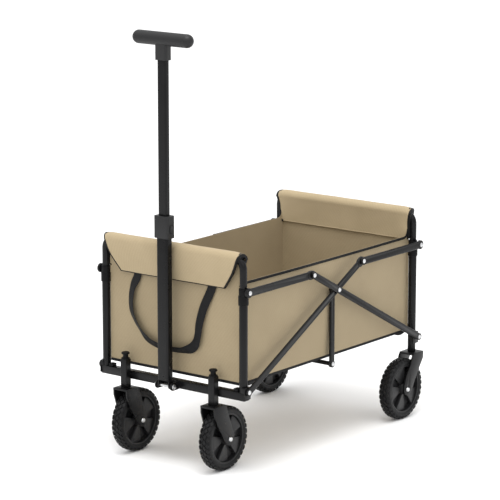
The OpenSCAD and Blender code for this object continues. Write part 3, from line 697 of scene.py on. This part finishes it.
def cover(name, y_post, outside, body, node, lap):
    def place(u, v):
        distance = v * SECTION
        w = half_width(distance)
        x = (2 * u - 1) * w
        y, z = cover_section(outside, distance)
        droop = max(0, (abs(x) - 205) / 31) ** 2 * 3.0
        loose = min(1, abs(z - bar_z) / 60) if z < bar_z else 0
        return (x, y_post + y + ripple(x, 40 * outside, z, 55, 1.3 * loose),
                z - droop * (1 if z > bar_z else 0.4) + ripple(x, 9, z, 60, 0.5))

    size = (2 * COVER_HALF, SECTION)
    # the strip is cut from the lighter copy of the cloth: painted light on the covers
    strip = cloth(name, size, (84, 56), place, lit_cover_cloth, 1.4)
    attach(strip, body)
    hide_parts(node)
    trims_and_shadow_line = []
    steps = 44
    for s in (-1, 1):
        points, ways = [], []
        for i in range(steps + 1):
            distance = SECTION * i / steps
            px, py, pz = place(0.5 + 0.5 * s, i / steps)
            y0, z0 = cover_section(outside, max(0, distance - 1))
            y1, z1 = cover_section(outside, min(SECTION, distance + 1))
            inward = Vector((0, z1 - z0, y0 - y1)).normalized() * -outside
            if inward.dot(Vector((0, y_post - py, bar_z - pz))) < 0 and pz > bar_z - 20:
                inward.negate()
            points.append(Vector((px + s * 0.4, py, pz)) + inward * 3.2)
            ways.append((s, 0, 0))
        edge = tape(f"{name}_end_binding_{'right' if s > 0 else 'left'}", points, ways, 8.4, 2.6)
        trims_and_shadow_line.append(edge)
        # the binding laps round onto the face of the cloth
        points, ways = [], []
        for i in range(steps + 1):
            distance = SECTION * i / steps
            points.append(Vector(place(0.5 + 0.5 * s, i / steps)) - Vector((s * lap / 2, 0, 0)))
            y0, z0 = cover_section(outside, max(0, distance - 1))
            y1, z1 = cover_section(outside, min(SECTION, distance + 1))
            ways.append((0, z1 - z0, y0 - y1))
        lapped = tape(f"{name}_end_lap_{'right' if s > 0 else 'left'}", points, ways, lap, 3.0)
        trims_and_shadow_line.append(lapped)
    # the flap's lower edge gets a thin strip of black tape as a painted shadow line under its hem;
    # the band's lower edge gets a seam of the cover cloth
    for tag, v, height in (("outer", 0.004, 2.6), ("inner", 0.996, 2.2)):
        points = [Vector(place(u, v)) for u in [i / 48 for i in range(49)]]
        seam_and_shadow_line = tape(f"{name}_{tag}_seam", points, (0, 1, 0.15), height, 2.6,
                    black_tape if tag == "outer" else lit_cover_cloth)
        trims_and_shadow_line.append(seam_and_shadow_line)
    for piece in trims_and_shadow_line:
        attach(piece, body)
    # foam sleeve with a black end on each top bar, seen in the open ends of the cover
    for s in (-1, 1):
        side = "right" if s > 0 else "left"
        deselect()
        bpy.ops.mesh.primitive_cylinder_add(vertices=40, radius=14.4 * MM, depth=44 * MM,
                                            rotation=(0, math.pi / 2, 0),
                                            location=(s * 213 * MM, y_post * MM,
                                                      (bar_z + 0.8) * MM))
        foam = bpy.context.object
        foam.name = f"{name}_foam_end_{side}"
        bpy.ops.object.transform_apply()
        bpy.ops.object.mode_set(mode="EDIT")
        bpy.ops.mesh.select_all(action="SELECT")
        bpy.ops.mesh.bevel(offset=3.5 * MM, segments=4, affect="EDGES")
        bpy.ops.object.mode_set(mode="OBJECT")
        bpy.ops.object.shade_smooth_by_angle(angle=math.radians(40))
        foam.data.materials.append(black_tape)
        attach(foam, body)


cover("front_cover", front_y, -1, "front_frame", "front_roll", 3.0)
cover("rear_cover", rear_y, 1, "rear_frame", "rear_roll", 7.0)

# ------------------------------------------------------------------ side walls
# Unsupported panels of the same cloth between the posts. The top edge has a wide black
# binding that turns up at each post to meet the covers.
y_first, y_last = front_y + wall_inset + 1.2, rear_y - wall_inset - 1.2


def top_edge(y):
    """Height of the top edge: straight, and turned up in a round corner at each end."""
    reach = min(y - y_first, y_last - y)
    if reach >= 26:
        return side_top - 1.5 * math.sin(math.pi * (y - y_first) / (y_last - y_first))
    t = 1 - max(0.0, reach) / 26
    return side_top + 33 * (1 - math.sqrt(max(0.0, 1 - t ** 3.2)))


def squash_in(piece):
    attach(piece, "front_frame")
    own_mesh(piece)


def spread(t):
    """Packs the grid lines closer at both ends, where the top edge turns up."""
    return 0.65 * t + 0.35 * (0.5 - 0.5 * math.cos(math.pi * t))


for s, side in ((1, "right"), (-1, "left")):
    def side_x(y, z):
        u = (y - y_first) / (y_last - y_first)
        v = (z - floor_z) / (side_top - floor_z)
        belly = math.sin(math.pi * max(0, min(1, u))) ** 0.7 \
            * math.sin(math.pi * max(0, min(1, v * 0.96 + 0.02))) ** 0.9
        return s * (225.8 + 6.0 * belly + ripple(s * 50, y, z, 120, 2.2 * belly)
                    + ripple(s * 50, y, z, 46, 0.8 * belly))

    def place(u, v):
        y = y_first + spread(u) * (y_last - y_first)
        top = top_edge(y)
        z = floor_z + 1 + v * (top - floor_z - 1)
        return side_x(y, z), y, z

    length = y_last - y_first
    wall = cloth(f"side_wall_{side}", (length, side_top - floor_z), (120, 44), place,
                 khaki_cloth, 1.3)
    if s < 0:
        take(wall)
        bpy.ops.object.mode_set(mode="EDIT")
        bpy.ops.mesh.select_all(action="SELECT")
        bpy.ops.mesh.normals_make_consistent(inside=False)
        bpy.ops.object.mode_set(mode="OBJECT")
    top = [Vector(place(i / 160, 1.0)) + Vector((s * 1.5, 0, -3.6)) for i in range(161)]
    binding = tape(f"side_wall_{side}_top_binding", top, (1, 0, 0), 7.6, 2.4)
    low = [Vector((side_x(y, floor_z + 3), y, floor_z + 2.6))
           for y in [y_first + (y_last - y_first) * i / 60 for i in range(61)]]
    hem = tape(f"side_wall_{side}_bottom_binding", low, (1, 0, 0), 8.0, 3.4)
    squash_in(wall)
    squash_in(binding)
    squash_in(hem)
    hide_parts(f"side_panel_{side}")

# ------------------------------------------------------------------ floor
# Four fibreboard strips sewn between two layers of the cloth, with folds between the strips.
FLOOR_X = 223.5
floor_y0, floor_y1 = y_first + 1.5, y_last - 1.5


def floor_point(u, v):
    x = (2 * u - 1) * FLOOR_X
    y = floor_y0 + v * (floor_y1 - floor_y0)
    strip = abs(math.sin(4 * math.pi * v))
    edge = min(1, min(u, 1 - u) * 30)
    crown = min(1, strip * 6) ** 0.5 * edge ** 0.5
    return x, y, floor_z + 3.6 + 1.8 * crown + ripple(x, y, 0, 90, 0.6)


tub_floor = cloth("tub_floor", (2 * FLOOR_X, floor_y1 - floor_y0), (40, 128), floor_point,
                  khaki_cloth, 4.0)
squash_in(tub_floor)
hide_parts("floor_panel")
for i in (1, 2, 3):
    y = floor_y0 + (floor_y1 - floor_y0) * i / 4
    crease = tape(f"floor_stitching_{i}", along([(x, y, floor_z + 5.8) for x in
                                                 (-FLOOR_X + 4, -80, 80, FLOOR_X - 4)], 15),
                  (0, 0, 1), 3.2, 0.9)
    squash_in(crease)

# ------------------------------------------------------------------ carrying strap
# One length of 27 mm black webbing, sewn flat under the front flap at both ends. It hangs
# away from the wall, turned part edge-on at the left and bottom and face-on at the right.
strap_y = front_y + wall_inset - 5.5
strap_knots = [(-125, 0, 528), (-127, 0, 502), (-142, -3, 470), (-148, -4, 432), (-143, -5, 398),
               (-120, -5, 361), (-90, -5, 332), (-51, -5, 319), (-3, -5, 316), (46, -5, 321),
               (76, -5, 338), (87, -5, 366), (92, -4, 400), (106, -3, 446), (131, 0, 500),
               (138, 0, 528)]
strap_path = along([(x, strap_y + y, z) for x, y, z in strap_knots], 6)
lengths = [0.0]
for a, b in zip(strap_path, strap_path[1:]):
    lengths.append(lengths[-1] + (b - a).length)
strap_length = lengths[-1]


def strap_turn(share):
    """How far the webbing is turned edge-on at a share of its length, in degrees."""
    stops = [(0, 0), (0.05, 5), (0.12, 22), (0.20, 27), (0.27, 36), (0.31, 40), (0.36, 30),
             (0.42, 34), (0.50, 44), (0.58, 44), (0.64, 14), (0.70, -12), (0.80, -4), (0.88, 0),
             (1, 0)]
    for (a, x), (b, y) in zip(stops, stops[1:]):
        if share <= b:
            t = (share - a) / (b - a)
            return x + (y - x) * t * t * (3 - 2 * t)
    return 0


strap_ways = []
for i in range(len(strap_path)):
    ahead = (strap_path[min(i + 1, len(strap_path) - 1)]
             - strap_path[max(i - 1, 0)]).normalized()
    flat_way = Vector((0, -1, 0))
    side_way = ahead.cross(flat_way).normalized()
    a = math.radians(strap_turn(lengths[i] / strap_length))
    strap_ways.append(flat_way * math.cos(a) + side_way * math.sin(a))
strap = tape("carrying_strap", strap_path, strap_ways, 27.0, 1.8)
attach(strap, "front_frame")
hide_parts("carry_strap")

# ------------------------------------------------------------------ rivet heads and end sleeves
# Zinc rivet heads close the outer ends of the top links and the centre posts. Each top link
# ends at its middle joint in a folded steel sleeve, coated black like the frame.
middle_y = (front_y + rear_y) / 2
NODE_Y, LOW_Z, UP_Z = 116, 236, 508      # middle joints, low pivots, top links
under_lo, under_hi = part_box("under_bar")
head_profile = [(-1.4, 0, 0), (-1.4, 0, 6.2), (0.7, 0, 6.2), (2.1, 0, 5.0), (3.0, 0, 3.0),
                (3.4, 0, 0)]
head_master = outline("rivet_head", head_profile, closed=False)
turn_round(head_master, 28)
bpy.ops.object.shade_smooth_by_angle(angle=math.radians(40))
head_master.data.materials.append(zinc)


def copy_to(master, name, place, body):
    """A copy of the master with its own mesh, moved to its place in millimetres."""
    piece = bpy.data.objects.new(name, master.data.copy())
    if place[0] < 0:
        piece.data.transform(Matrix.Rotation(math.pi, 4, "Z"))
    piece.data.transform(Matrix.Translation(Vector(place) * MM))
    scene.collection.objects.link(piece)
    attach(piece, body)
    return piece


deselect()
bpy.ops.mesh.primitive_cylinder_add(vertices=12, radius=12.5 * MM, depth=8.4 * MM,
                                    rotation=(0, math.pi / 2, 0))
sleeve_master = bpy.context.object
sleeve_master.name = "link_sleeve"
bpy.ops.object.transform_apply()
bpy.ops.object.mode_set(mode="EDIT")
bpy.ops.mesh.select_all(action="SELECT")
bpy.ops.mesh.bevel(offset=1.4 * MM, segments=2, affect="EDGES")
bpy.ops.object.mode_set(mode="OBJECT")
for vertex in sleeve_master.data.vertices:
    if vertex.co.y > 0:
        vertex.co.y += 9 * MM
bpy.ops.object.shade_smooth_by_angle(angle=math.radians(35))
sleeve_master.data.materials.append(powder_coat)

for s, side in ((1, "right"), (-1, "left")):
    for which, y_end in (("front", front_y), ("rear", rear_y)):
        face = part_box(f"{which}_link_right")[1][0] / MM
        copy_to(head_master, f"{which}_link_head_{side}", (s * face, y_end, UP_Z),
                f"{which}_link_{side}")
    foot_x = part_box("under_posts")[1][0] / MM
    copy_to(head_master, f"centre_post_head_{side}",
            (s * (foot_x - 1.2), middle_y, (under_lo[2] + under_hi[2]) / 2 / MM), "under_frame")
    inner_x = (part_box("brace_a_right")[0][0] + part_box("brace_a_right")[1][0]) / 2 / MM
    for which, turn, body in (("front", -1, f"front_link_{side}"),
                              ("rear", 1, f"brace_a_{side}")):
        sleeve = bpy.data.objects.new(f"{which}_sleeve_{side}", sleeve_master.data.copy())
        if turn < 0:
            sleeve.data.transform(Matrix.Rotation(math.pi, 4, "X"))
        else:
            lean = math.atan2(UP_Z - LOW_Z, middle_y + NODE_Y - front_y)
            sleeve.data.transform(Matrix.Rotation(math.pi + lean, 4, "X"))
        sleeve.data.transform(Matrix.Translation(
            Vector((s * inner_x, middle_y + turn * NODE_Y, UP_Z)) * MM))
        scene.collection.objects.link(sleeve)
        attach(sleeve, body)
bpy.data.objects.remove(head_master)
bpy.data.objects.remove(sleeve_master)

# ------------------------------------------------------------------ foot blocks and corner tabs
# A small moulded block wedges each front post on its crossbar. Tabs of folded webbing hold the
# bottom corners of the tub down to the frame.
for s, side in ((1, "right"), (-1, "left")):
    deselect()
    bpy.ops.mesh.primitive_cube_add(size=1 * MM)
    block = bpy.context.object
    block.name = f"post_foot_block_{side}"
    bpy.ops.object.mode_set(mode="EDIT")
    bpy.ops.mesh.select_all(action="SELECT")
    bpy.ops.transform.resize(value=(15, 17, 9))
    bpy.ops.mesh.bevel(offset=1.8 * MM, segments=3, affect="EDGES")
    bpy.ops.mesh.select_all(action="SELECT")
    crossbar_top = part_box("front_crossbar")[1][2]
    bpy.ops.transform.translate(value=(s * 219.5 * MM, front_y * MM, crossbar_top + 4.4 * MM))
    bpy.ops.object.mode_set(mode="OBJECT")
    bpy.ops.object.shade_smooth_by_angle(angle=math.radians(40))
    block.data.materials.append(moulded_black)
    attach(block, "front_frame")
    for end, y_corner, inward in (("front", front_y, 1), ("rear", rear_y, -1)):
        def tab_point(u, v):
            y = y_corner + inward * (wall_inset + 4 + 62 * v)
            drop = 8.5 * math.sin(math.pi * v) ** 0.8
            return s * (228.5 - 1.5 * u), y, floor_z + 1.5 - u * drop

        tab = cloth(f"{end}_corner_tab_{side}", (9, 62), (4, 24), tab_point, black_tape, 1.6)
        squash_in(tab)

# ------------------------------------------------------------------ handle grip and clamp
# Two glass-filled nylon shells are screwed together over the top of the inner tube. The clamp
# with its push button is of the same textured plastic.
grip_plastic, tree = new_material("moulded_glass_filled_nylon")
where = add(tree, "TexCoord")
grain = add(tree, "TexNoise", inputs={"Vector": (where, "Object"), "Scale": 1 / (0.8 * MM),
                                      "Detail": 4.0})
bump = add(tree, "Bump", inputs={"Height": (grain, "Fac"), "Strength": 0.3, "Distance": 0.12 * MM})
tone = add(tree, "MixRGB", inputs={"Fac": (grain, "Fac"), "Color1": linear("#151516"),
                                   "Color2": linear("#1d1d1e")})
shader = add(tree, "BsdfPrincipled", inputs={"Base Color": (tone, "Color"), "Roughness": 0.5,
                                             "Normal": (bump, "Normal"), "IOR": 1.53,
                                             "Specular IOR Level": 0.3})
add(tree, "OutputMaterial", inputs={"Surface": (shader, "BSDF")})
finish_node("handle_grip", grip_plastic, 0.5, 40)
for name in ("handle_clamp", "clamp_button"):
    finish_node(name, grip_plastic, 0.9)
